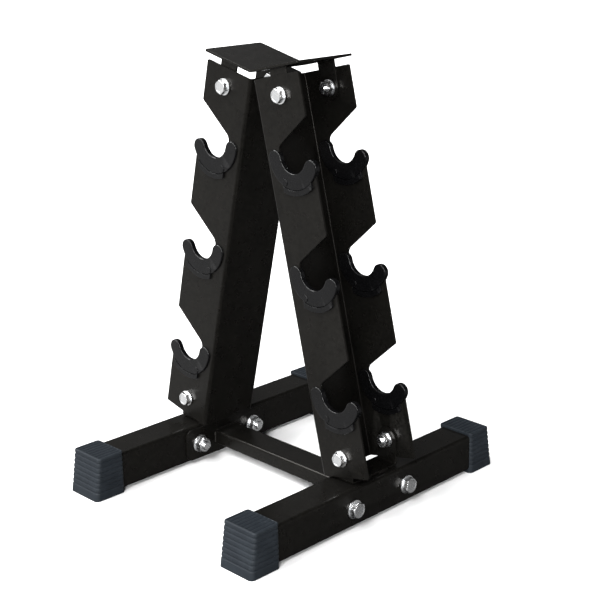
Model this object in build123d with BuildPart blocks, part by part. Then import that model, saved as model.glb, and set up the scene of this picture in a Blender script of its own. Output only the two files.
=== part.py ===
from build123d import *
import os
from math import cos, radians, sin, sqrt, tan

# Three-tier A-frame dumbbell rack.
#
# X runs across the rack, Y along the two base tubes and Z up; the origin is on the
# floor at the rack's centre. Two bent-sheet U channels stand on the base tubes and
# lean in until they almost meet. Their webs face each other and their flanges point
# outward, and each flange has three notches with plastic liners that hold the
# dumbbell handles. Everything is in millimetres.

os.makedirs("parts", exist_ok=True)

SIDES = (("left", -1), ("right", 1))
ENDS = (("front", -1), ("rear", 1))

# Base tubes and their foot caps
tube_size = 50.0
tube_wall = 2.5
tube_corner = 4.5
tube_x = 148.0
tube_half_length = 208.0
tube_floor_gap = 4.0
tube_z = tube_floor_gap + tube_size / 2
tube_top = tube_floor_gap + tube_size

cap_height = 57.8
cap_foot_width = 58.0
cap_top_width = 55.6
cap_inner_end = 176.0
cap_foot_end = 223.0
cap_top_end = 214.5
cap_foot_corner = 6.0
cap_top_corner = 4.5
cap_edge = 1.8
cap_clearance = 0.1

# Cross tube, with the plates that bolt it to the base tubes
cross_width = 40.0
cross_height = 20.0
cross_wall = 2.0
cross_corner = 3.0
cross_z = 28.5
plate_sheet = 3.0
plate_length = 142.0
plate_height = 44.0
plate_corner = 10.0
cross_bolt_y = 48.5
tube_inner_face = tube_x - tube_size / 2
tube_outer_face = tube_x + tube_size / 2
plate_face = tube_inner_face - plate_sheet

# Uprights: U channels of bent sheet. "s" is measured outward from the web's outer
# face and "t" up the channel from its lower end.
lean = radians(13.1)
web_foot_x = 114.4
web_foot_z = 53.5
channel_length = 497.5
channel_width = 88.0
flange_depth = 80.5
sheet = 2.5
bend_radius = 4.5
channel_corner = 2.0
flange_inner_face = channel_width / 2 - sheet
flange_middle = channel_width / 2 - sheet / 2

# Notches: each tier is the "t" where its ramp leaves the flange's outer edge
TIERS = (("lower", 149.6), ("middle", 302.1), ("upper", 444.9))
ramp = radians(28.8)
ramp_corner = 3.0
throat_radius = 11.0
seat_s = 48.5
seat_drop = 44.0
seat_radius = 24.0
lip_radius = 6.75
peg_s = 28.0
peg_drop = 74.5
peg_hole_radius = 2.6

# Saddle liners: plastic clips that wrap the edge of a notch
liner_rim = 2.5
liner_thickness = 7.5
liner_outer_radius = 42.0
horn_angle = -33.0
liner_edge = 1.6
skirt_half_width = 24.5
skirt_radius = 48.5
skirt_corner = 2.0
skirt_rise = 0.5
skirt_edge = 0.4
peg_radius = 2.5
peg_head_radius = 4.5
peg_head_height = 0.8
peg_head_edge = 0.5

# Top bracket: a shallow V plate with four tabs welded under it
top_sheet = 3.0
top_gap = 9.1
top_width = 94.0
top_slope_length = 84.3
top_bend_radius = 6.0
top_corner = 3.0
top_tab_width = 28.5
top_bolt_s = 44.2
top_bolt_t = 473.7

# Base brackets: U straps welded on top of the base tubes
strap_sheet = 3.0
strap_width = 31.0
strap_x = 147.5
strap_bolt_z = 86.4
strap_bend_radius = 5.0

# Fasteners: M10 through the flanges, M12 through the base tubes
flange_bolt_radius = 5.0
flange_bolt_flats = 16.0
flange_head_height = 6.4
flange_nut_height = 8.0
flange_washer_radius = 10.5
flange_washer_sheet = 2.0
cross_bolt_radius = 6.0
cross_bolt_flats = 18.5
cross_head_height = 7.5
cross_nut_height = 10.0
cross_washer_radius = 12.0
cross_washer_sheet = 2.5
hole_clearance = 0.5
thread_clearance = 0.1
thread_end = 3.5
end_chamfer = 1.0
crown = radians(30)
crown_share = 0.95


def flange_plane(side, y):
    """Plane of a flange at this y: its x runs along s and its y along t."""
    return Plane(
        origin=(side * web_foot_x, y, web_foot_z),
        x_dir=(side * cos(lean), 0, sin(lean)),
        z_dir=(0, -side, 0),
    )


def section_plane(side):
    """Plane across a channel at its lower end: its x runs along s, its normal along t."""
    return Plane(
        origin=(side * web_foot_x, 0, web_foot_z),
        x_dir=(side * cos(lean), 0, sin(lean)),
        z_dir=(-side * sin(lean), 0, cos(lean)),
    )


def to_flange(x, z):
    """The (s, t) of a point given by its world |x| and z."""
    across = x - web_foot_x
    up = z - web_foot_z
    return (across * cos(lean) + up * sin(lean), up * cos(lean) - across * sin(lean))


def to_world(s, t):
    """The world (|x|, z) of a point given by its s and t."""
    return (
        web_foot_x + s * cos(lean) - t * sin(lean),
        web_foot_z + s * sin(lean) + t * cos(lean),
    )


top_bolt_x, top_bolt_z = to_world(top_bolt_s, top_bolt_t)
strap_bolt_s, strap_bolt_t = to_flange(strap_x, strap_bolt_z)


def notch(tier):
    """One notch: ramp, rounded throat, round seat and the lip that keeps the handle in."""
    throat_s = seat_s - seat_radius
    seat_t = tier - seat_drop
    beyond = flange_depth + seat_radius
    ramp_start = (beyond, tier + (beyond - flange_depth) * tan(ramp))
    ramp_end = (throat_s, tier - (flange_depth - throat_s) * tan(ramp))
    lip_s = flange_depth - lip_radius
    lip_reach = seat_radius + lip_radius
    lip_t = seat_t - sqrt(lip_reach**2 - (lip_s - seat_s) ** 2)
    share = seat_radius / lip_reach
    seat_end = (seat_s + share * (lip_s - seat_s), seat_t + share * (lip_t - seat_t))
    with BuildSketch() as outline:
        with BuildLine():
            FilletPolyline(ramp_start, ramp_end, (throat_s, seat_t), radius=throat_radius)
            seat = ThreePointArc((throat_s, seat_t), (seat_s, seat_t - seat_radius), seat_end)
            TangentArc(seat @ 1, (flange_depth, lip_t), tangent=seat % 1)
            Polyline((flange_depth, lip_t), (beyond, lip_t), ramp_start)
        make_face()
    return outline.sketch


def band(tier):
    """The upper part of a liner: a C-shaped band round the seat, with round horns."""
    seat_t = tier - seat_drop
    inner_radius = seat_radius - liner_rim
    middle_radius = (inner_radius + liner_outer_radius) / 2
    horn_radius = (liner_outer_radius - inner_radius) / 2
    horn = radians(horn_angle)
    inner_tip = (seat_s - middle_radius, seat_t + horn_radius)
    outer_tip = (
        seat_s + middle_radius * cos(horn) - horn_radius * sin(horn),
        seat_t + middle_radius * sin(horn) + horn_radius * cos(horn),
    )
    with BuildSketch() as outline:
        with BuildLine():
            outer = CenterArc((seat_s, seat_t), liner_outer_radius, 180, 180 + horn_angle)
            inner = CenterArc((seat_s, seat_t), inner_radius, 180, 180 + horn_angle)
            ThreePointArc(outer @ 0, inner_tip, inner @ 0)
            ThreePointArc(outer @ 1, outer_tip, inner @ 1)
        make_face()
    return outline.sketch


def skirt(tier):
    """The lower part of a liner: a strip that follows the band's outer arc."""
    seat_t = tier - seat_drop
    top_drop = sqrt(liner_outer_radius**2 - skirt_half_width**2)
    foot_drop = sqrt(skirt_radius**2 - skirt_half_width**2)
    left = seat_s - skirt_half_width
    right = seat_s + skirt_half_width
    top_t = seat_t - top_drop
    foot_t = seat_t - foot_drop
    with BuildSketch() as outline:
        with BuildLine():
            ThreePointArc((left, top_t), (seat_s, seat_t - liner_outer_radius), (right, top_t))
            Line((right, top_t), (right, foot_t))
            ThreePointArc((right, foot_t), (seat_s, seat_t - skirt_radius), (left, foot_t))
            Line((left, foot_t), (left, top_t))
        make_face()
        fillet(outline.vertices().sort_by(Axis.Y)[:2], skirt_corner)
    return outline.sketch


# --- Base tubes -----------------------------------------------------------------

for side_name, side in SIDES:
    with BuildPart() as base_tube:
        with BuildSketch(Plane(origin=(side * tube_x, 0, tube_z), x_dir=(1, 0, 0), z_dir=(0, 1, 0))):
            RectangleRounded(tube_size, tube_size, tube_corner)
            bore = tube_size - 2 * tube_wall
            RectangleRounded(bore, bore, tube_corner - tube_wall, mode=Mode.SUBTRACT)
        extrude(amount=tube_half_length, both=True)
        # holes for the cross bolts, through both side walls
        with BuildSketch(Plane.YZ.offset(side * tube_x)):
            with Locations((-cross_bolt_y, cross_z), (cross_bolt_y, cross_z)):
                Circle(cross_bolt_radius + hole_clearance)
        extrude(amount=tube_size, both=True, mode=Mode.SUBTRACT)
    base_tube.part.label = f"{side_name}_base_tube"
    export_step(base_tube.part, f"parts/{side_name}_base_tube.step")


# --- Foot caps: moulded shoes that widen towards the floor ------------------------

for side_name, side in SIDES:
    for end_name, end in ENDS:
        foot_middle = end * (cap_inner_end + cap_foot_end) / 2
        top_middle = end * (cap_inner_end + cap_top_end) / 2
        with BuildPart() as cap:
            with BuildSketch(Plane(origin=(side * tube_x, foot_middle, 0))):
                RectangleRounded(cap_foot_width, cap_foot_end - cap_inner_end, cap_foot_corner)
            with BuildSketch(Plane(origin=(side * tube_x, top_middle, cap_height))):
                RectangleRounded(cap_top_width, cap_top_end - cap_inner_end, cap_top_corner)
            loft()
            fillet(cap.faces().sort_by(Axis.Z)[-1].edges(), cap_edge)
            # pocket for the end of the base tube
            socket = tube_size + 2 * cap_clearance
            socket_end = Plane(
                origin=(side * tube_x, end * tube_half_length, tube_z),
                x_dir=(1, 0, 0),
                z_dir=(0, -end, 0),
            )
            with BuildSketch(socket_end):
                RectangleRounded(socket, socket, tube_corner)
            extrude(amount=cap_foot_end - cap_inner_end, mode=Mode.SUBTRACT)
        cap.part.label = f"{end_name}_{side_name}_foot_cap"
        export_step(cap.part, f"parts/{end_name}_{side_name}_foot_cap.step")


# --- Cross tube and its end plates ------------------------------------------------

with BuildPart() as cross_tube:
    with BuildSketch(Plane.YZ):
        with Locations((0, cross_z)):
            RectangleRounded(cross_width, cross_height, cross_corner)
            RectangleRounded(
                cross_width - 2 * cross_wall,
                cross_height - 2 * cross_wall,
                cross_corner - cross_wall,
                mode=Mode.SUBTRACT,
            )
    extrude(amount=plate_face, both=True)
cross_tube.part.label = "cross_tube"
export_step(cross_tube.part, "parts/cross_tube.step")

for side_name, side in SIDES:
    with BuildPart() as end_plate:
        with BuildSketch(Plane.YZ.offset(side * (plate_face + plate_sheet / 2))):
            with Locations((0, cross_z)):
                RectangleRounded(plate_length, plate_height, plate_corner)
            with Locations((-cross_bolt_y, cross_z), (cross_bolt_y, cross_z)):
                Circle(cross_bolt_radius + hole_clearance, mode=Mode.SUBTRACT)
        extrude(amount=plate_sheet / 2, both=True)
    end_plate.part.label = f"{side_name}_end_plate"
    export_step(end_plate.part, f"parts/{side_name}_end_plate.step")


# --- Uprights ---------------------------------------------------------------------

for side_name, side in SIDES:
    with BuildPart() as upright:
        with BuildSketch(section_plane(side)):
            web_middle = sheet / 2
            with BuildLine():
                FilletPolyline(
                    (flange_depth, -flange_middle),
                    (web_middle, -flange_middle),
                    (web_middle, flange_middle),
                    (flange_depth, flange_middle),
                    radius=bend_radius - sheet / 2,
                )
            trace(line_width=sheet)
        extrude(amount=channel_length)
        # the side profile, with its notches and holes, trims both flanges at once
        with BuildSketch(flange_plane(side, 0)) as profile:
            Rectangle(flange_depth, channel_length, align=(Align.MIN, Align.MIN))
            for tier_name, tier in TIERS:
                add(notch(tier), mode=Mode.SUBTRACT)
                fillet(profile.vertices().sort_by_distance((flange_depth, tier))[0], ramp_corner)
                with Locations((peg_s, tier - peg_drop)):
                    Circle(peg_hole_radius, mode=Mode.SUBTRACT)
            for corner_t in (0, channel_length):
                fillet(profile.vertices().sort_by_distance((flange_depth, corner_t))[0], channel_corner)
            with Locations((top_bolt_s, top_bolt_t), (strap_bolt_s, strap_bolt_t)):
                Circle(flange_bolt_radius + hole_clearance, mode=Mode.SUBTRACT)
        extrude(amount=channel_width, both=True, mode=Mode.INTERSECT)
    upright.part.label = f"{side_name}_upright"
    export_step(upright.part, f"parts/{side_name}_upright.step")


# --- Saddle liners ----------------------------------------------------------------

for side_name, side in SIDES:
    for end_name, end in ENDS:
        for tier_name, tier in TIERS:
            with BuildPart() as liner:
                with BuildSketch(flange_plane(side, end * flange_middle)):
                    add(band(tier))
                extrude(amount=liner_thickness / 2, both=True)
                for face in (liner.faces().sort_by(Axis.Y)[0], liner.faces().sort_by(Axis.Y)[-1]):
                    fillet(face.edges(), liner_edge)
                with BuildSketch(flange_plane(side, end * flange_middle)):
                    add(skirt(tier))
                extrude(amount=liner_thickness / 2 + skirt_rise, both=True)
                for face in (liner.faces().sort_by(Axis.Y)[0], liner.faces().sort_by(Axis.Y)[-1]):
                    fillet(face.edges(), skirt_edge)
                # slot that takes the notched edge of the flange
                with BuildSketch(flange_plane(side, end * flange_middle)):
                    with Locations((0, tier)):
                        Rectangle(flange_depth, 2 * skirt_radius + seat_drop, align=(Align.MIN, Align.MAX))
                    add(notch(tier), mode=Mode.SUBTRACT)
                extrude(amount=sheet / 2, both=True, mode=Mode.SUBTRACT)
                # snap peg through the flange, with a low round head on each face
                with BuildSketch(flange_plane(side, end * flange_middle)):
                    with Locations((peg_s, tier - peg_drop)):
                        Circle(peg_radius)
                extrude(amount=liner_thickness / 2, both=True)
                for face_side in (-1, 1):
                    head_plane = flange_plane(side, end * flange_middle + face_side * liner_thickness / 2)
                    with BuildSketch(head_plane):
                        with Locations((peg_s, tier - peg_drop)):
                            Circle(peg_head_radius)
                    extrude(amount=-side * face_side * peg_head_height)
                    head_face = liner.faces().sort_by(Axis.Y)[0 if face_side < 0 else -1]
                    fillet(head_face.edges(), peg_head_edge)
            name = f"{end_name}_{side_name}_{tier_name}_liner"
            liner.part.label = name
            export_step(liner.part, f"parts/{name}.step")


# --- Top bracket ------------------------------------------------------------------

top_seam_t = channel_length + top_gap
valley_z = web_foot_z + top_seam_t / cos(lean) - web_foot_x * tan(lean) + top_sheet / 2 / cos(lean)
wing_x = top_slope_length * cos(lean)
wing_z = valley_z + top_slope_length * sin(lean)

with BuildPart() as top_plate:
    with BuildSketch(Plane.XZ):
        with BuildLine():
            FilletPolyline(
                (-wing_x, wing_z),
                (0, valley_z),
                (wing_x, wing_z),
                radius=top_bend_radius + top_sheet / 2,
            )
        trace(line_width=top_sheet)
    extrude(amount=top_width / 2, both=True)
    for end_face in (top_plate.faces().sort_by(Axis.X)[0], top_plate.faces().sort_by(Axis.X)[-1]):
        fillet(end_face.edges().sort_by(Axis.Y)[0], top_corner)
        fillet(end_face.edges().sort_by(Axis.Y)[-1], top_corner)
top_plate.part.label = "top_plate"
export_step(top_plate.part, "parts/top_plate.step")

for side_name, side in SIDES:
    for end_name, end in ENDS:
        with BuildPart() as tab:
            with BuildSketch(flange_plane(side, end * (flange_inner_face - sheet / 2))):
                with Locations((top_bolt_s, top_bolt_t)):
                    Circle(top_tab_width / 2)
                    Rectangle(top_tab_width, top_seam_t - top_bolt_t, align=(Align.CENTER, Align.MIN))
                    Circle(flange_bolt_radius + hole_clearance, mode=Mode.SUBTRACT)
            extrude(amount=sheet / 2, both=True)
        tab.part.label = f"{end_name}_{side_name}_top_tab"
        export_step(tab.part, f"parts/{end_name}_{side_name}_top_tab.step")


# --- Base brackets ----------------------------------------------------------------

for side_name, side in SIDES:
    with BuildPart() as strap:
        strap_middle = flange_inner_face - strap_sheet / 2
        strap_end = strap_bolt_z + strap_width / 2
        with BuildSketch(Plane.YZ.offset(side * strap_x)):
            with BuildLine():
                FilletPolyline(
                    (-strap_middle, strap_end),
                    (-strap_middle, tube_top + strap_sheet / 2),
                    (strap_middle, tube_top + strap_sheet / 2),
                    (strap_middle, strap_end),
                    radius=strap_bend_radius - strap_sheet / 2,
                )
            trace(line_width=strap_sheet)
        extrude(amount=strap_width / 2, both=True)
        # round ends about the bolt, cut in both tabs at once
        with BuildSketch(Plane.XZ):
            with Locations((side * strap_x, strap_bolt_z)):
                Circle(strap_width / 2)
                Rectangle(strap_width, strap_bolt_z - tube_top, align=(Align.CENTER, Align.MAX))
                Circle(flange_bolt_radius + hole_clearance, mode=Mode.SUBTRACT)
        extrude(amount=channel_width, both=True, mode=Mode.INTERSECT)
    strap.part.label = f"{side_name}_base_bracket"
    export_step(strap.part, f"parts/{side_name}_base_bracket.step")


# --- Fasteners ----------------------------------------------------------------------
# Each is made once about its own axis, with +Z pointing out of the face it clamps.


def hexagon(flats, height):
    """A hexagon prism on z = 0 whose corners are turned off above and below."""
    corner_radius = flats / sqrt(3)
    crown_radius = crown_share * flats / 2
    crown_drop = (corner_radius - crown_radius) * tan(crown)
    with BuildPart() as prism:
        with BuildSketch():
            RegularPolygon(flats / 2, 6, major_radius=False)
        extrude(amount=height)
        with BuildSketch(Plane.XZ):
            with BuildLine():
                Polyline(
                    (0, 0),
                    (crown_radius, 0),
                    (corner_radius, crown_drop),
                    (corner_radius, height - crown_drop),
                    (crown_radius, height),
                    (0, height),
                    close=True,
                )
            make_face()
        revolve(axis=Axis.Z, mode=Mode.INTERSECT)
    return prism.part


def bolt(radius, flats, head_height, shank_length):
    """A hexagon bolt: head above z = 0, shank below it."""
    with BuildPart() as one_bolt:
        add(hexagon(flats, head_height))
        with BuildSketch():
            Circle(radius)
        extrude(amount=-shank_length)
        chamfer(one_bolt.edges().sort_by(Axis.Z)[0], end_chamfer)
    return one_bolt.part


def washer(radius, bolt_radius, thickness):
    """A plain washer standing on z = 0."""
    with BuildPart() as one_washer:
        with BuildSketch():
            Circle(radius)
            Circle(bolt_radius + hole_clearance, mode=Mode.SUBTRACT)
        extrude(amount=thickness)
    return one_washer.part


def nut(flats, bolt_radius, height):
    """A hexagon nut standing on z = 0."""
    with BuildPart() as one_nut:
        add(hexagon(flats, height))
        with BuildSketch():
            Circle(bolt_radius + thread_clearance)
        extrude(amount=height, mode=Mode.SUBTRACT)
    return one_nut.part


def facing(x, y, z, outward, turn):
    """Plane on a clamped face, its normal along outward, with a fastener's own turn in degrees."""
    level = sin(radians(turn))
    x_dir = (0 if outward[0] else level, 0 if outward[1] else level, cos(radians(turn)))
    return Plane(origin=(x, y, z), x_dir=x_dir, z_dir=outward)


# flange bolts: head outside the flange, nut inside the tab
outer_y = channel_width / 2
top_inner_y = flange_inner_face - sheet
strap_inner_y = flange_inner_face - strap_sheet
turns = (8, 35, 22, 50, 14, 41, 3, 27)
joints = [
    (side * x, z, end, inner_y)
    for side_name, side in SIDES
    for end_name, end in ENDS
    for x, z, inner_y in (
        (top_bolt_x, top_bolt_z, top_inner_y),
        (strap_x, strap_bolt_z, strap_inner_y),
    )
]
head_faces = []
head_washers = []
nut_faces = []
nut_washers = []
for turn, (x, z, end, inner_y) in zip(turns, joints):
    head_washers.append(facing(x, end * outer_y, z, (0, end, 0), turn))
    head_faces.append(facing(x, end * (outer_y + flange_washer_sheet), z, (0, end, 0), turn))
    nut_washers.append(facing(x, end * inner_y, z, (0, -end, 0), turn))
    nut_faces.append(facing(x, end * (inner_y - flange_washer_sheet), z, (0, -end, 0), turn))

grip = outer_y - strap_inner_y + 2 * flange_washer_sheet
flange_shank = grip + flange_nut_height + thread_end

with BuildPart() as flange_bolts:
    with Locations(*head_faces):
        add(bolt(flange_bolt_radius, flange_bolt_flats, flange_head_height, flange_shank))
flange_bolts.part.label = "flange_bolts"
export_step(flange_bolts.part, "parts/flange_bolts.step")

with BuildPart() as flange_washers:
    with Locations(*head_washers, *nut_washers):
        add(washer(flange_washer_radius, flange_bolt_radius, flange_washer_sheet))
flange_washers.part.label = "flange_washers"
export_step(flange_washers.part, "parts/flange_washers.step")

with BuildPart() as flange_nuts:
    with Locations(*nut_faces):
        add(nut(flange_bolt_flats, flange_bolt_radius, flange_nut_height))
flange_nuts.part.label = "flange_nuts"
export_step(flange_nuts.part, "parts/flange_nuts.step")

# cross bolts: head outside the base tube, nut on the end plate
head_faces = []
head_washers = []
nut_faces = []
nut_washers = []
for turn, (side, end) in zip(turns, [(side, end) for _, side in SIDES for _, end in ENDS]):
    y = end * cross_bolt_y
    head_washers.append(facing(side * tube_outer_face, y, cross_z, (side, 0, 0), turn))
    head_x = side * (tube_outer_face + cross_washer_sheet)
    head_faces.append(facing(head_x, y, cross_z, (side, 0, 0), turn))
    nut_washers.append(facing(side * plate_face, y, cross_z, (-side, 0, 0), turn))
    nut_x = side * (plate_face - cross_washer_sheet)
    nut_faces.append(facing(nut_x, y, cross_z, (-side, 0, 0), turn))

cross_grip = tube_size + plate_sheet + 2 * cross_washer_sheet
cross_shank = cross_grip + cross_nut_height + thread_end

with BuildPart() as cross_bolts:
    with Locations(*head_faces):
        add(bolt(cross_bolt_radius, cross_bolt_flats, cross_head_height, cross_shank))
cross_bolts.part.label = "cross_bolts"
export_step(cross_bolts.part, "parts/cross_bolts.step")

with BuildPart() as cross_washers:
    with Locations(*head_washers, *nut_washers):
        add(washer(cross_washer_radius, cross_bolt_radius, cross_washer_sheet))
cross_washers.part.label = "cross_washers"
export_step(cross_washers.part, "parts/cross_washers.step")

with BuildPart() as cross_nuts:
    with Locations(*nut_faces):
        add(nut(cross_bolt_flats, cross_bolt_radius, cross_nut_height))
cross_nuts.part.label = "cross_nuts"
export_step(cross_nuts.part, "parts/cross_nuts.step")
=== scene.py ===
from math import cos, pi, radians, sin, sqrt, tan
import bmesh
import bpy
from mathutils import Matrix, Vector


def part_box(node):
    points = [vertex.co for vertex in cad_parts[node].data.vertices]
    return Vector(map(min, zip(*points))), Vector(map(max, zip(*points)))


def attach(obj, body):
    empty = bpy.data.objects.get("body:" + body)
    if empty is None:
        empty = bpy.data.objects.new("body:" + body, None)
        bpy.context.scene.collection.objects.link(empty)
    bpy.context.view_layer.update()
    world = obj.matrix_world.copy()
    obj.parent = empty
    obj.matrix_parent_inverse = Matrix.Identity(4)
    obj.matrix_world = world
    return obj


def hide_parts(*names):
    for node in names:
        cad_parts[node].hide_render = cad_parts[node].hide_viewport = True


# A three-tier A-frame dumbbell rack. X runs across it, Y along its base tubes, Z up; metres.

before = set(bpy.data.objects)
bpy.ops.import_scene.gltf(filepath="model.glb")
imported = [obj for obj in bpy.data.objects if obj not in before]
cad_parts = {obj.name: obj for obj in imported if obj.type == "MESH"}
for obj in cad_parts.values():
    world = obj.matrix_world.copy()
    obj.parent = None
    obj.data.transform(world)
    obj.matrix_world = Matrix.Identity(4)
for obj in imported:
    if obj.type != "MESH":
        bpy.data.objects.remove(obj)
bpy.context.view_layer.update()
scene = bpy.context.scene

MM = 0.001
SIDES = (("left", -1), ("right", 1))
ENDS = (("front", -1), ("rear", 1))
LEAN = radians(13.1)
SAME_POINT = 1e-6            # CAD points closer than this are one
FLAT_WITHIN = radians(0.5)   # CAD faces whose angle is below this are one flat face
JOINED_SHARP = radians(32)   # edges of a joined mesh above this angle stay sharp


# --- Materials --------------------------------------------------------------------


class Shader:
    """A node material on object coordinates, with short calls for what the finishes share."""

    def __init__(self, name, **values):
        self.material = bpy.data.materials.new(name)
        self.material.use_nodes = True
        self.tree = self.material.node_tree
        self.surface = self.tree.nodes["Principled BSDF"]
        for socket, value in values.items():
            self.surface.inputs[socket.replace("_", " ")].default_value = value
        self.place = self.node("ShaderNodeTexCoord").outputs["Object"]

    def node(self, kind, **settings):
        made = self.tree.nodes.new(kind)
        for key, value in settings.items():
            setattr(made, key, value)
        return made

    def link(self, source, target):
        self.tree.links.new(source, target)

    def noise(self, scale, detail=3.0, roughness=0.55):
        """Noise whose features are about 1 / scale metres across."""
        made = self.node("ShaderNodeTexNoise")
        made.inputs["Scale"].default_value = scale
        made.inputs["Detail"].default_value = detail
        made.inputs["Roughness"].default_value = roughness
        self.link(self.place, made.inputs["Vector"])
        return made.outputs["Fac"]

    def ramp(self, value, low, high, from_low=0.3, from_high=0.7):
        """The value's middle range spread from low to high."""
        made = self.node("ShaderNodeMapRange")
        made.inputs["From Min"].default_value = from_low
        made.inputs["From Max"].default_value = from_high
        made.inputs["To Min"].default_value = low
        made.inputs["To Max"].default_value = high
        self.link(value, made.inputs["Value"])
        return made.outputs["Result"]

    def blend(self, factor, first, second):
        """A colour between two, each a tuple or another node's output."""
        made = self.node("ShaderNodeMix", data_type="RGBA")
        self.link(factor, made.inputs["Factor"])
        for socket, colour in (("A", first), ("B", second)):
            target = next(i for i in made.inputs if i.name == socket and i.type == "RGBA")
            if isinstance(colour, tuple):
                target.default_value = (*colour, 1)
            else:
                self.link(colour, target)
        return next(o for o in made.outputs if o.type == "RGBA")

    def edges(self, low, high):
        """1 on convex edges and 0 on flats, from how pointed the surface is."""
        pointed = self.node("ShaderNodeNewGeometry").outputs["Pointiness"]
        return self.ramp(pointed, 0.0, 1.0, low, high)

    def multiply(self, first, second):
        made = self.node("ShaderNodeMath", operation="MULTIPLY")
        self.link(first, made.inputs[0])
        self.link(second, made.inputs[1])
        return made.outputs["Value"]

    def colour(self, source):
        self.link(source, self.surface.inputs["Base Color"])

    def roughness(self, source):
        self.link(source, self.surface.inputs["Roughness"])

    def bump(self, *layers):
        """Bump from layers of noise, each (scale, detail, strength, depth in metres)."""
        heights = [(self.noise(scale, detail), *size) for scale, detail, *size in layers]
        normal = None
        for height, strength, depth in heights:
            made = self.node("ShaderNodeBump")
            made.inputs["Strength"].default_value = strength
            made.inputs["Distance"].default_value = depth
            self.link(height, made.inputs["Height"])
            if normal is not None:
                self.link(normal, made.inputs["Normal"])
            normal = made.outputs["Normal"]
        self.link(normal, self.surface.inputs["Normal"])


def worn_finish(name, dark, light, worn, cloud, edge, patches, wear, sheen, gloss, grain, **values):
    """A finish clouded between two tones and rubbed to a third along its edges.

    cloud, patches and sheen are (scale, detail) of the noise behind the tones, the rubbing and
    the roughness. edge is the range of pointedness that counts as an edge, wear is how much of
    it rubs off, gloss is the range of roughness, and grain is the bump's layers.
    """
    finish = Shader(name, **values)
    base = finish.blend(finish.ramp(finish.noise(*cloud), 0, 1), dark, light)
    rubbed = finish.multiply(finish.edges(*edge), finish.ramp(finish.noise(*patches), *wear))
    finish.colour(finish.blend(rubbed, base, worn))
    finish.roughness(finish.ramp(finish.noise(*sheen), *gloss))
    finish.bump(*grain)
    return finish.material


def zinc_plate():
    """Bright zinc-plated steel with faint cloudy passivation."""
    zinc = Shader("bright_zinc_plate", Metallic=1.0)
    cloudy = zinc.ramp(zinc.noise(260, 3), 0, 1)
    zinc.colour(zinc.blend(cloudy, (0.88, 0.90, 0.92), (0.96, 0.96, 0.96)))
    zinc.roughness(zinc.ramp(zinc.noise(420, 3), 0.20, 0.32))
    zinc.bump((1400, 2, 0.12, 0.0001))
    return zinc.material


# black powder coat: an orange-peel skin, a faint mottle and edges rubbed a little lighter
PAINT = worn_finish(
    "black_powder_coat",
    dark=(0.0017, 0.0016, 0.0014),
    light=(0.0027, 0.0025, 0.0021),
    worn=(0.013, 0.0125, 0.0113),
    cloud=(35, 4),
    edge=(0.52, 0.60),
    patches=(240, 3),
    wear=(0.1, 0.8),
    sheen=(90, 3),
    gloss=(0.26, 0.34),
    grain=((620, 2, 0.12, 0.00025), (2600, 2, 0.05, 0.0001)),
    Specular_IOR_Level=0.125,
    Specular_Tint=(1.0, 0.95, 0.89, 1),
)

# black moulded plastic with a fine spark-eroded grain
PLASTIC = worn_finish(
    "black_moulded_plastic",
    dark=(0.0016, 0.0016, 0.0018),
    light=(0.0024, 0.0024, 0.0026),
    worn=(0.014, 0.014, 0.0145),
    cloud=(60, 3),
    edge=(0.52, 0.60),
    patches=(300, 2),
    wear=(0.2, 0.7),
    sheen=(150, 3),
    gloss=(0.20, 0.28),
    grain=((900, 1, 0.04, 0.00012), (120, 2, 0.05, 0.0004)),
    Specular_IOR_Level=0.22,
)

# dark blue-grey moulded rubber, slightly dusty on its ribs
RUBBER = worn_finish(
    "grey_moulded_rubber",
    dark=(0.0074, 0.0096, 0.0126),
    light=(0.0114, 0.0145, 0.0182),
    worn=(0.034, 0.039, 0.044),
    cloud=(45, 4, 0.6),
    edge=(0.51, 0.58),
    patches=(200, 3),
    wear=(0.2, 0.9),
    sheen=(130, 3),
    gloss=(0.50, 0.66),
    grain=((900, 4, 0.30, 0.0002), (110, 2, 0.10, 0.0006)),
    Specular_IOR_Level=0.12,
)

ZINC = zinc_plate()


# --- Mesh helpers -----------------------------------------------------------------


def add_piece(name, mesh, material, slot, *nodes):
    """A finished mesh becomes a piece of the root body that stands for the given CAD nodes."""
    piece = bpy.data.objects.new(name, mesh)
    scene.collection.objects.link(piece)
    mesh.materials.clear()
    mesh.materials.append(material)
    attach(piece, "root")
    if nodes:
        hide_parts(*nodes)
    return piece


def mesh_from(name, points, faces):
    mesh = bpy.data.meshes.new(name)
    mesh.from_pydata(points, [], faces)
    mesh.validate()
    mesh.shade_smooth()
    return mesh


def soften(piece, width, segments=2, angle=30):
    """Round a piece's sharp edges and keep its flats flat."""
    bevel = piece.modifiers.new("edge_round", "BEVEL")
    bevel.width = width
    bevel.segments = segments
    bevel.limit_method = "ANGLE"
    bevel.angle_limit = radians(angle)
    bevel.harden_normals = False
    normals = piece.modifiers.new("flat_faces", "WEIGHTED_NORMAL")
    normals.keep_sharp = False


def clean_copy(node):
    """A CAD node's surface as a new mesh, with its flat areas merged into single faces."""
    build = bmesh.new()
    build.from_mesh(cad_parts[node].data)
    bmesh.ops.remove_doubles(build, verts=build.verts, dist=SAME_POINT)
    bmesh.ops.dissolve_limit(
        build, angle_limit=FLAT_WITHIN, verts=build.verts, edges=build.edges
    )
    points = [v.co.copy() for v in build.verts]
    faces = [[v.index for v in f.verts] for f in build.faces]
    build.free()
    return mesh_from(node + "_coated", points, faces)


# --- Painted frame ----------------------------------------------------------------

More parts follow.
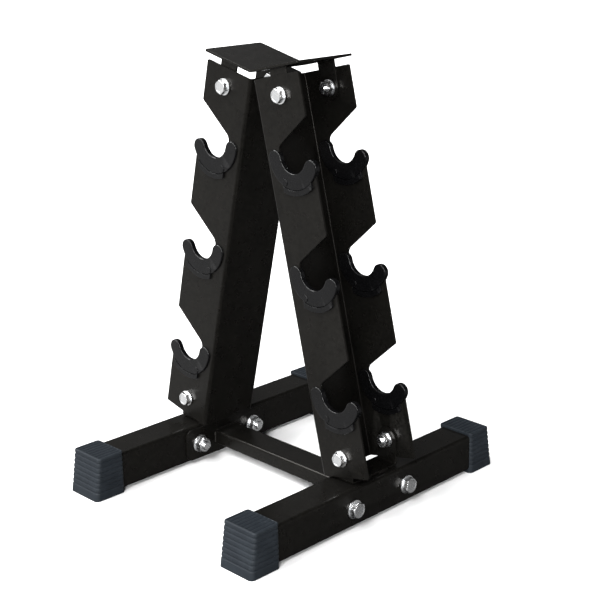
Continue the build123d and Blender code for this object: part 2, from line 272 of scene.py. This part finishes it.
# the radius in millimetres of each painted part's edges
PAINTED = {
    "left_base_tube": 0.3,
    "right_base_tube": 0.3,
    "cross_tube": 0.3,
    "left_end_plate": 0.5,
    "right_end_plate": 0.5,
    "left_upright": 0.45,
    "right_upright": 0.45,
    "top_plate": 0.5,
    "left_base_bracket": 0.5,
    "right_base_bracket": 0.5,
    "front_left_top_tab": 0.4,
    "rear_left_top_tab": 0.4,
    "front_right_top_tab": 0.4,
    "rear_right_top_tab": 0.4,
}

for node, edge in PAINTED.items():
    piece = add_piece(node + "_coated", clean_copy(node), PAINT, "frame_paint", node)
    soften(piece, edge * MM)


# --- Saddle liners ----------------------------------------------------------------

for name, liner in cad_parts.items():
    if name.endswith("_liner"):
        liner.data.materials.clear()
        liner.data.materials.append(PLASTIC)


# --- Rings: closed shapes built as a stack of loops -------------------------------


def stack(rings, place=None):
    """A closed skin through a list of equal rings, with a point at each end."""
    count = len(rings[0])
    points = [p for ring in rings for p in ring]
    first = len(points)
    points.append(sum((Vector(p) for p in rings[0]), Vector()) / count)
    points.append(sum((Vector(p) for p in rings[-1]), Vector()) / count)
    faces = []
    for i in range(len(rings) - 1):
        for j in range(count):
            k = (j + 1) % count
            faces.append((i * count + j, i * count + k, (i + 1) * count + k, (i + 1) * count + j))
    last = (len(rings) - 1) * count
    for j in range(count):
        k = (j + 1) % count
        faces.append((first, k, j))
        faces.append((first + 1, last + j, last + k))
    if place is not None:
        points = [place @ Vector(p) for p in points]
    return points, faces


# --- Fasteners --------------------------------------------------------------------

ROUND = 48                   # points around a fastener
THREAD_DEPTH = 0.54          # of the pitch
THREAD_LEAD = 0.9 * MM       # taper at a bolt's tip
THREAD_STEPS = 8             # loops in one turn of the thread
THREAD_PAST_NUT = 6 * MM
CROWN = 0.475                # radius of a hexagon's flat crown, of its width across flats
CHAMFER = radians(30)
CORNER_LIFT = 0.4            # how far a bolt head's lower corners rise, of the upper ones' drop
MOUTH_DEPTH = 0.9 * MM       # countersink of a nut
WASHER_PLAY = 0.5 * MM
WASHER_EDGE = 0.35 * MM
WASHER_BEND = 0.3            # how far in the rounded edge's middle lies, of the edge
FASTENER_EDGE = 0.25 * MM
DISH_RIM = 0.86              # radii of the dish in a bolt's crown, of the crown's
DISH_FLOOR = 0.82
DISH_DEPTH = 0.25 * MM
HEAD_FOOT = 0.15 * MM        # height of the round seat under a bolt's head
MOUTH_RADIUS = 1.08          # radii of a nut's countersink, of the thread's
BORE_RADIUS = 0.9
BOLT_TURNS = (8, 35, 22, 50, 14, 41, 3, 27)  # degrees, one for each bolt of a set
NUT_TURN = 17                # how much further a bolt's nut is turned


def turned(radius, turn):
    """The point at this radius and turn about a fastener's axis."""
    return radius * cos(turn), radius * sin(turn)


def hexagon_radius(flats, turn):
    """Distance from the axis to a hexagon's side in the direction of turn."""
    sixth = pi / 3
    off = (turn + sixth / 2) % sixth - sixth / 2
    return flats / 2 / cos(off)


def hexagon_ring(flats, limit, z, drop):
    """One loop of a hexagon whose corners are turned off by a 30 degree cone from limit."""
    ring = []
    for j in range(ROUND):
        turn = 2 * pi * j / ROUND
        radius = hexagon_radius(flats, turn)
        sunk = max(0.0, radius - limit) * tan(CHAMFER) * drop
        ring.append((*turned(radius, turn), z - sunk))
    return ring


def circle_ring(radius, z):
    return [(*turned(radius, 2 * pi * j / ROUND), z) for j in range(ROUND)]


def thread_ring(radius, pitch, z, tip):
    """One loop of a screw thread: its depth follows the helix, and it tapers at the tip."""
    depth = THREAD_DEPTH * pitch
    ring = []
    for j in range(ROUND):
        turn = j / ROUND
        wave = abs(((z / pitch - turn) % 1.0) * 2 - 1)
        here = radius - depth * (1 - wave)
        here = min(here, radius - THREAD_LEAD + (z - tip))
        ring.append((*turned(here, 2 * pi * turn), z))
    return ring


def bolt_mesh(radius, pitch, flats, head, shank, threaded, place):
    """A hexagon bolt about its own axis: head above z = 0, shank and thread below."""
    rings = []
    step = pitch / THREAD_STEPS
    count = int(threaded / step)
    for i in range(count + 1):
        rings.append(thread_ring(radius, pitch, -shank + i * step, -shank))
    rings.append(circle_ring(radius, -shank + threaded + step))
    rings.append(circle_ring(radius, 0))
    crown = CROWN * flats
    rings.append(circle_ring(crown, 0))
    rings.append(hexagon_ring(flats, crown, HEAD_FOOT, -CORNER_LIFT))
    rings.append(hexagon_ring(flats, crown, head, 1.0))
    rings.append(circle_ring(crown, head))
    # a shallow dish in the crown
    rings.append(circle_ring(crown * DISH_RIM, head))
    rings.append(circle_ring(crown * DISH_FLOOR, head - DISH_DEPTH))
    return stack(rings, place)


def nut_mesh(radius, flats, height, place):
    """A hexagon nut on z = 0, chamfered above and below, with a countersunk mouth."""
    crown = CROWN * flats
    rings = [
        circle_ring(crown, 0),
        hexagon_ring(flats, crown, 0, -1.0),
        hexagon_ring(flats, crown, height, 1.0),
        circle_ring(crown, height),
        circle_ring(radius * MOUTH_RADIUS, height),
        circle_ring(radius * BORE_RADIUS, height - MOUTH_DEPTH),
    ]
    return stack(rings, place)


def washer_mesh(outer, inner, thickness, place):
    """A plain washer on z = 0, its rims rounded by the punch."""
    edge = WASHER_EDGE
    profile = [
        (inner, 0.0),
        (outer - edge, 0.0),
        (outer - edge * WASHER_BEND, edge * WASHER_BEND),
        (outer, edge),
        (outer, thickness - edge),
        (outer - edge * WASHER_BEND, thickness - edge * WASHER_BEND),
        (outer - edge, thickness),
        (inner + edge, thickness),
        (inner, thickness - edge),
    ]
    count = len(profile)
    points = []
    for j in range(ROUND):
        points += [place @ Vector((*turned(r, 2 * pi * j / ROUND), z)) for r, z in profile]
    faces = []
    for j in range(ROUND):
        k = (j + 1) % ROUND
        for i in range(count):
            n = (i + 1) % count
            faces.append((j * count + i, k * count + i, k * count + n, j * count + n))
    return points, faces


def joined(name, parts):
    """Several (points, faces) shells as one mesh."""
    points = []
    faces = []
    for more_points, more_faces in parts:
        start = len(points)
        points += more_points
        faces += [tuple(start + i for i in face) for face in more_faces]
    mesh = mesh_from(name, points, faces)
    mesh.set_sharp_from_angle(angle=JOINED_SHARP)
    return mesh


def seat(centre, outward, turn):
    """Placement on a clamped face: z along outward, turned about it by turn degrees."""
    outward = Vector(outward)
    level = sin(radians(turn))
    across = Vector((0 if outward.x else level, 0 if outward.y else level, cos(radians(turn))))
    basis = Matrix((across, outward.cross(across), outward)).transposed()
    return Matrix.Translation(centre) @ basis.to_4x4()


def islands(node):
    """The separate solids of a CAD node, as (low corner, high corner) pairs."""
    build = bmesh.new()
    build.from_mesh(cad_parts[node].data)
    bmesh.ops.remove_doubles(build, verts=build.verts, dist=SAME_POINT)
    found = []
    left = set(build.verts)
    while left:
        frontier = [left.pop()]
        group = list(frontier)
        while frontier:
            vert = frontier.pop()
            for link in vert.link_edges:
                other = link.other_vert(vert)
                if other in left:
                    left.remove(other)
                    frontier.append(other)
                    group.append(other)
        low = Vector([min(v.co[i] for v in group) for i in range(3)])
        high = Vector([max(v.co[i] for v in group) for i in range(3)])
        found.append((low, high))
    build.free()
    return found


def fastener_set(prefix, axis, radius, pitch, flats, head, nut_height, washer, washer_sheet):
    """Detailed bolts, washers and nuts where the CAD model has its plain ones.

    axis is the bolts' direction (0 for x, 1 for y), flats the width across flats, head the
    height of the bolts' heads, and washer the washers' outer radius.
    """
    bolts = []
    nuts = []
    washers = []
    bore = radius + WASHER_PLAY
    bolt_boxes = sorted(
        islands(prefix + "_bolts"),
        key=lambda box: (round(box[0].x, 3), round(box[0].y, 3), box[0].z),
    )
    nut_boxes = islands(prefix + "_nuts")
    for turn, (low, high) in zip(BOLT_TURNS, bolt_boxes):
        centre = (low + high) / 2
        nut = min(nut_boxes, key=lambda box: ((box[0] + box[1]) / 2 - centre).length)
        way = 1 if centre[axis] > 0 else -1
        outward = Vector([way if i == axis else 0 for i in range(3)])
        tip = low[axis] if way > 0 else high[axis]
        top = high[axis] if way > 0 else low[axis]
        under_head = centre.copy()
        under_head[axis] = top - way * head
        nut_face = centre.copy()
        nut_face[axis] = nut[1][axis] if way > 0 else nut[0][axis]
        shank = abs(under_head[axis] - tip)
        threaded = nut_height + THREAD_PAST_NUT
        place = seat(under_head, outward, turn)
        bolts.append(bolt_mesh(radius, pitch, flats, head, shank, threaded, place))
        place = seat(nut_face, -outward, turn + NUT_TURN)
        nuts.append(nut_mesh(radius, flats, nut_height, place))
        for face, up in ((under_head, outward), (nut_face, -outward)):
            place = seat(face - up * washer_sheet, up, turn)
            washers.append(washer_mesh(washer, bore, washer_sheet, place))
    for kind, parts in (("bolts", bolts), ("nuts", nuts), ("washers", washers)):
        name = f"{prefix}_{kind}"
        piece = add_piece(name + "_plated", joined(name, parts), ZINC, "zinc_steel", name)
        if kind != "washers":
            soften(piece, FASTENER_EDGE, angle=28)


fastener_set(
    "flange",
    axis=1,
    radius=5 * MM,
    pitch=1.5 * MM,
    flats=16 * MM,
    head=6.4 * MM,
    nut_height=8 * MM,
    washer=10.5 * MM,
    washer_sheet=2 * MM,
)
fastener_set(
    "cross",
    axis=0,
    radius=6 * MM,
    pitch=1.75 * MM,
    flats=18.5 * MM,
    head=7.5 * MM,
    nut_height=10 * MM,
    washer=12 * MM,
    washer_sheet=2.5 * MM,
)


# --- Foot caps --------------------------------------------------------------------

RIB_PITCH = 6.6 * MM
RIB_WIDTH = 0.86             # of the pitch; the rest is the groove's flat bottom
RIB_DEPTH = 0.85 * MM
RIB_FOOT = 11 * MM           # the smooth band at the bottom is this high
RIB_PHASE = 0.43             # where the top's middle lies on a rib, of the pitch
CAP_TAPER = 8.5 * MM
CAP_NARROWING = 1.2 * MM
CAP_CORNER = 6               # radius at the floor in millimetres
CAP_CORNER_LOSS = 1.5        # how much smaller it is at the top
CAP_LEAST_CORNER = 0.8 * MM
CAP_TOP_EDGE = 1.8 * MM
CAP_FOOT_EDGE = 0.7 * MM
TOP_EDGE_STEPS = 4           # loops round the two edges, and in one rib
FOOT_EDGE_STEPS = 3
RIB_STEPS = 12
CAP_MOUTH_DRAFT = 0.2        # how much of the ribs' depth its open end draws back
TOP_BANDS = 34               # loops from the top's outline to its middle
BORDER_BANDS = 3             # the ribs reach their full depth over this many of them
POCKET_CORNER = 4.8 * MM
POCKET_PLAY = 0.35 * MM
POCKET_END_PLAY = 0.1 * MM
POCKET_STEPS = 8             # in each of the pocket's corners
POCKET_OVERRUN = 5 * MM      # how far outside the cap the cut starts
CAP_SHARP = radians(50)      # edges above this angle stay sharp


def rib(distance):
    """How deep the ribbed skin lies below its crest at this distance along it."""
    phase = (distance / RIB_PITCH) % 1.0
    if phase >= RIB_WIDTH:
        return RIB_DEPTH
    return RIB_DEPTH * (1 - sin(pi * min(1.0, phase / RIB_WIDTH))) ** 2


def side_rib(z, height):
    return rib(height - z) if z > RIB_FOOT else 0.0


def cap_loop(half_x, near, far, corner, z, end):
    """A rounded rectangle: x to either side, y from near to far of the rack's middle."""
    along = 56
    across = 26
    bend = 7
    y_mid = (near + far) / 2
    half_y = (far - near) / 2
    in_x = half_x - corner
    in_y = half_y - corner
    # each straight run, and the centre of the corner after it
    walk = (
        ((half_x, -in_y), (half_x, in_y), across, (in_x, in_y)),
        ((in_x, half_y), (-in_x, half_y), along, (-in_x, in_y)),
        ((-half_x, in_y), (-half_x, -in_y), across, (-in_x, -in_y)),
        ((-in_x, -half_y), (in_x, -half_y), along, (in_x, -in_y)),
    )
    loop = []
    for index, (start, stop, count, centre) in enumerate(walk):
        for i in range(count):
            share = i / count
            x = start[0] + (stop[0] - start[0]) * share
            loop.append((x, start[1] + (stop[1] - start[1]) * share))
        for i in range(bend):
            turn = index * pi / 2 + (i / bend) * pi / 2
            loop.append((centre[0] + corner * cos(turn), centre[1] + corner * sin(turn)))
    return [(x, end * (y_mid + y), z) for x, y in loop]


def foot_cap(node, end):
    """A ribbed shoe: widening towards the floor, hollow for the tube's end."""
    low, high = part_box(node)
    centre_x = (low.x + high.x) / 2
    height = high.z
    half_foot = (high.x - low.x) / 2
    near = min(abs(low.y), abs(high.y))
    far = max(abs(low.y), abs(high.y))

    def level(z, inset):
        """The outline at this height, drawn in by inset."""
        share = z / height
        half_x = half_foot - CAP_NARROWING * share - inset
        back = near + CAP_MOUTH_DRAFT * inset
        front = far - CAP_TAPER * share - inset
        corner = max((CAP_CORNER - CAP_CORNER_LOSS * share) * MM - inset, CAP_LEAST_CORNER)
        return [(centre_x + x, y, zz) for x, y, zz in cap_loop(half_x, back, front, corner, z, end)]

    # the rounded bottom edge, the ribbed sides, the rounded top edge
    rings = []
    for i in range(FOOT_EDGE_STEPS + 1):
        turn = pi / 2 * (i / FOOT_EDGE_STEPS)
        rings.append(level(CAP_FOOT_EDGE * (1 - cos(turn)), CAP_FOOT_EDGE * (1 - sin(turn))))
    z = CAP_FOOT_EDGE
    while z < height - CAP_TOP_EDGE:
        z += RIB_PITCH / RIB_STEPS
        if z < height - CAP_TOP_EDGE:
            rings.append(level(z, side_rib(z, height)))
    for i in range(TOP_EDGE_STEPS + 1):
        turn = pi / 2 * (i / TOP_EDGE_STEPS)
        drawn_in = CAP_TOP_EDGE * (1 - cos(turn))
        rings.append(level(height - CAP_TOP_EDGE + CAP_TOP_EDGE * sin(turn), drawn_in))

    # the ribbed top, in loops that shrink towards its middle
    outline = rings[-1]
    middle = sum((Vector(p) for p in outline), Vector()) / len(outline)
    for i in range(1, TOP_BANDS):
        shrink = 1 - i / TOP_BANDS
        border = min(1.0, i / BORDER_BANDS)
        ring = []
        for p in outline:
            x = middle.x + (p[0] - middle.x) * shrink
            y = middle.y + (p[1] - middle.y) * shrink
            ring.append((x, y, height - border * rib(x - centre_x + RIB_PHASE * RIB_PITCH)))
        rings.append(ring)
    points, faces = stack(rings)
    if end < 0:
        faces = [tuple(reversed(face)) for face in faces]
    mesh = mesh_from(node + "_ribbed", points, faces)
    piece = add_piece(node + "_ribbed", mesh, RUBBER, "cap_rubber", node)
    hollow(piece, centre_x, end, near)


def hollow(piece, centre_x, end, near):
    """Cut the pocket that the base tube's end sits in."""
    tube_low, tube_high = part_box("right_base_tube")
    half = (tube_high.x - tube_low.x) / 2 + POCKET_PLAY
    middle_z = (tube_low.z + tube_high.z) / 2
    corner = POCKET_CORNER
    loops = []
    for y in (end * (near - POCKET_OVERRUN), end * (tube_high.y + POCKET_END_PLAY)):
        loop = []
        for quarter in range(4):
            cx = (half - corner) * (1 if quarter in (0, 3) else -1)
            cz = (half - corner) * (1 if quarter in (0, 1) else -1)
            for i in range(POCKET_STEPS + 1):
                turn = quarter * pi / 2 + i / POCKET_STEPS * pi / 2
                x = centre_x + cx + corner * cos(turn)
                loop.append((x, y, middle_z + cz + corner * sin(turn)))
        loops.append(loop)
    points, faces = stack(loops)
    if end > 0:
        faces = [tuple(reversed(face)) for face in faces]
    cutter = bpy.data.objects.new("pocket", mesh_from("pocket", points, faces))
    scene.collection.objects.link(cutter)
    cut = piece.modifiers.new("pocket", "BOOLEAN")
    cut.operation = "DIFFERENCE"
    cut.solver = "EXACT"
    cut.object = cutter
    result = bpy.data.meshes.new_from_object(
        piece.evaluated_get(bpy.context.evaluated_depsgraph_get())
    )
    piece.modifiers.clear()
    piece.data = result
    result.shade_smooth()
    result.set_sharp_from_angle(angle=CAP_SHARP)
    bpy.data.objects.remove(cutter)


for side_name, _ in SIDES:
    for end_name, end in ENDS:
        foot_cap(f"{end_name}_{side_name}_foot_cap", end)


# --- Weld beads -------------------------------------------------------------------

BEAD_SPACING = 0.35 * MM
BEAD_ROUND = 12              # points around a bead
BEAD_TIP = 0.02              # what is left of a bead's section at its very ends
FINE_RIPPLE = (0.10, 1.7 * MM)  # height as a share of the radius, and length
COARSE_RIPPLE = (0.05, 5.3 * MM)


def ripple(along, height, length):
    return height * sin(2 * pi * along / length)


def bead(path, radius):
    """A rippled bead of weld along a path, rounded off at its ends."""
    samples = []
    for start, stop in zip(path, path[1:]):
        count = max(2, int((stop - start).length / BEAD_SPACING))
        samples += [start.lerp(stop, i / count) for i in range(count)]
    samples.append(path[-1])
    rings = []
    last = len(samples) - 1
    across = None
    for i, point in enumerate(samples):
        ahead = samples[min(i + 1, last)] - samples[max(i - 1, 0)]
        ahead.normalize()
        if across is None:
            across = ahead.orthogonal().normalized()
        else:
            across = (across - ahead * across.dot(ahead)).normalized()
        up = ahead.cross(across)
        along = i * BEAD_SPACING
        swell = 1 + ripple(along, *FINE_RIPPLE) + ripple(along, *COARSE_RIPPLE)
        tail = min(i, last - i) * BEAD_SPACING / radius
        taper = sqrt(max(BEAD_TIP, 1 - max(0.0, 1 - tail) ** 2))
        here = radius * swell * taper
        turns = [2 * pi * j / BEAD_ROUND for j in range(BEAD_ROUND)]
        rings.append([point + across * here * cos(t) + up * here * sin(t) for t in turns])
    return stack(rings)


# where the leaning channels' own s and t axes start
CHANNEL_FOOT_X = 114.4 * MM
CHANNEL_FOOT_Z = 53.5 * MM


def lean_point(side, s, t, y):
    """World place of a point s outward and t up a leaning channel."""
    x = CHANNEL_FOOT_X + s * cos(LEAN) - t * sin(LEAN)
    return Vector((side * x, y, CHANNEL_FOOT_Z + s * sin(LEAN) + t * cos(LEAN)))


# round the cross tube's ends
SIDE_BEAD = 1.9 * MM
FLAT_BEAD = 1.7 * MM
BEAD_SUNK = 0.3 * MM         # how far a bead's middle lies in from the tube's end
BEAD_PROUD = 0.1 * MM        # and out from its face
TUBE_CORNER = 2.2 * MM

cross_low, cross_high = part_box("cross_tube")
y = cross_high.y + BEAD_PROUD
top = cross_high.z + BEAD_PROUD
foot = cross_low.z - BEAD_PROUD
beads = []
for _, side in SIDES:
    x = side * (cross_high.x - BEAD_SUNK)
    for way in (-1, 1):
        low_end = Vector((x, way * y, foot + TUBE_CORNER))
        beads.append(bead([low_end, Vector((x, way * y, top - TUBE_CORNER))], SIDE_BEAD))
    for z in (top, foot):
        front_end = Vector((x, -y + TUBE_CORNER, z))
        beads.append(bead([front_end, Vector((x, y - TUBE_CORNER, z))], FLAT_BEAD))
add_piece("cross_tube_welds", joined("cross_tube_welds", beads), PAINT, "frame_paint")

# stitches along the base brackets' feet
STITCH = 16 * MM
STITCH_STARTS = (-22 * MM, 8 * MM)
STITCH_BEAD = 1.6 * MM

beads = []
for side_name, _ in SIDES:
    low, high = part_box(f"{side_name}_base_bracket")
    for x in (low.x, high.x):
        for y in STITCH_STARTS:
            ends = [Vector((x, y, low.z)), Vector((x, y + STITCH, low.z))]
            beads.append(bead(ends, STITCH_BEAD))
add_piece("base_bracket_welds", joined("base_bracket_welds", beads), PAINT, "frame_paint")

# along both faces of the top tabs, under the top plate; s and t as in lean_point
SEAM_S = (31.5 * MM, 57 * MM)
SEAM_T = 506.6 * MM
SEAM_DROP = 0.2 * MM
SEAM_BEAD = 1.3 * MM

beads = []
for side_name, side in SIDES:
    for end_name, _ in ENDS:
        low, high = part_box(f"{end_name}_{side_name}_top_tab")
        for y in (low.y, high.y):
            ends = [lean_point(side, s, SEAM_T - SEAM_DROP, y) for s in SEAM_S]
            beads.append(bead(ends, SEAM_BEAD))
add_piece("top_tab_welds", joined("top_tab_welds", beads), PAINT, "frame_paint")


# --- Floor, light and camera ------------------------------------------------------

FLOOR_HALF = 40.0
GLOW_BASE = 0.022


def pale_floor():
    """A plain matte floor, very slightly uneven in tone."""
    pale = Shader("pale_floor", Specular_IOR_Level=0.2)
    uneven = pale.ramp(pale.noise(3, 2), 0, 1)
    pale.colour(pale.blend(uneven, (0.93, 0.93, 0.93), (0.95, 0.95, 0.95)))
    pale.roughness(pale.ramp(pale.noise(20, 2), 0.65, 0.75))
    pale.bump((300, 2, 0.03, 0.0003))
    return pale.material


corners = [(x * FLOOR_HALF, y * FLOOR_HALF, 0) for x, y in ((-1, -1), (1, -1), (1, 1), (-1, 1))]
floor_mesh = mesh_from("floor", corners, [(0, 1, 2, 3)])
floor_mesh.materials.append(pale_floor())
ground = bpy.data.objects.new("floor", floor_mesh)
scene.collection.objects.link(ground)
# the dark coats would turn grey if they mirrored so bright a floor
ground.visible_glossy = False

world = bpy.data.worlds.new("studio")
scene.world = world
world.use_nodes = True
sky_tree = world.node_tree
background = sky_tree.nodes["Background"]
background.inputs["Color"].default_value = (1.0, 1.0, 1.0, 1)
sky = sky_tree.nodes.new("ShaderNodeTexCoord").outputs["Generated"]


def add_glow(so_far, towards, rim, heart, amount):
    """Add to the sky's brightness in one direction.

    It rises from nothing where the cosine to that direction is rim to amount where it is heart.
    """
    cosine = sky_tree.nodes.new("ShaderNodeVectorMath")
    cosine.operation = "DOT_PRODUCT"
    cosine.inputs[1].default_value = Vector(towards).normalized()
    lobe = sky_tree.nodes.new("ShaderNodeMapRange")
    lobe.interpolation_type = "SMOOTHSTEP"
    lobe.inputs["From Min"].default_value = rim
    lobe.inputs["From Max"].default_value = heart
    lobe.inputs["To Max"].default_value = amount
    total = sky_tree.nodes.new("ShaderNodeMath")
    sky_tree.links.new(sky, cosine.inputs[0])
    sky_tree.links.new(cosine.outputs["Value"], lobe.inputs["Value"])
    sky_tree.links.new(lobe.outputs["Result"], total.inputs[0])
    if so_far is None:
        total.inputs[1].default_value = GLOW_BASE
    else:
        sky_tree.links.new(so_far, total.inputs[1])
    return total.outputs["Value"]


# wide dim panels: front left, back right, high back left, straight behind, left and right
glow = None
for towards, rim, heart, amount in (
    ((-0.65, -0.70, -0.30), 0.50, 0.95, 0.70),
    ((0.70, 0.65, -0.05), 0.86, 0.97, 0.28),
    ((-0.60, 0.70, 0.40), 0.70, 0.98, 0.02),
    ((-0.10, 0.95, -0.30), 0.90, 0.99, 0.55),
    ((-0.97, 0.0, -0.26), 0.80, 0.97, 0.55),
    ((0.97, 0.0, -0.26), 0.80, 0.97, 0.55),
):
    glow = add_glow(glow, towards, rim, heart, amount)
sky_tree.links.new(glow, background.inputs["Strength"])


def soft_sun(name, source, irradiance, spread):
    """An even light over the whole floor, from a disc spread degrees across."""
    light = bpy.data.lights.new(name, "SUN")
    light.energy = irradiance
    light.angle = radians(spread)
    lamp = bpy.data.objects.new(name, light)
    lamp.rotation_mode = "QUATERNION"
    lamp.rotation_quaternion = (-Vector(source)).to_track_quat("-Z", "Y")
    scene.collection.objects.link(lamp)


# an arch of softboxes from beside the camera over the front to the upper left, and their fill
soft_sun("arch_right", (0.66, -0.70, 0.28), 2.6, 14)
soft_sun("arch_front", (0.31, -0.67, 0.67), 2.9, 24)
soft_sun("arch_top", (-0.18, -0.53, 0.83), 2.3, 24)
soft_sun("arch_left", (-0.65, -0.30, 0.70), 3.0, 24)
soft_sun("fill", (-0.45, -1.0, 0.6), 1.2, 40)
soft_sun("top", (-0.35, 0.0, 1.0), 0.8, 60)
soft_sun("back", (-0.65, 0.45, 0.65), 0.10, 40)

LENS_MM = 79.8
SENSOR_MM = 36.0
CAMERA_TURN = radians(43.14)
CAMERA_RISE = radians(17.20)
CAMERA_REACH = 1.755
TARGET = Vector((0.0522, 0.1010, 0.2518))
SHIFT = (-0.109, -0.0173)

ahead = Vector(
    (
        -sin(CAMERA_TURN) * cos(CAMERA_RISE),
        cos(CAMERA_TURN) * cos(CAMERA_RISE),
        -sin(CAMERA_RISE),
    )
)
lens = bpy.data.cameras.new("camera")
lens.lens = LENS_MM
lens.sensor_width = SENSOR_MM
lens.shift_x, lens.shift_y = SHIFT
lens.clip_start = 0.05
lens.clip_end = 50
camera = bpy.data.objects.new("camera", lens)
camera.location = TARGET - ahead * CAMERA_REACH
camera.rotation_mode = "QUATERNION"
camera.rotation_quaternion = ahead.to_track_quat("-Z", "Y")
scene.collection.objects.link(camera)
scene.camera = camera
scene.view_settings.view_transform = "Standard"
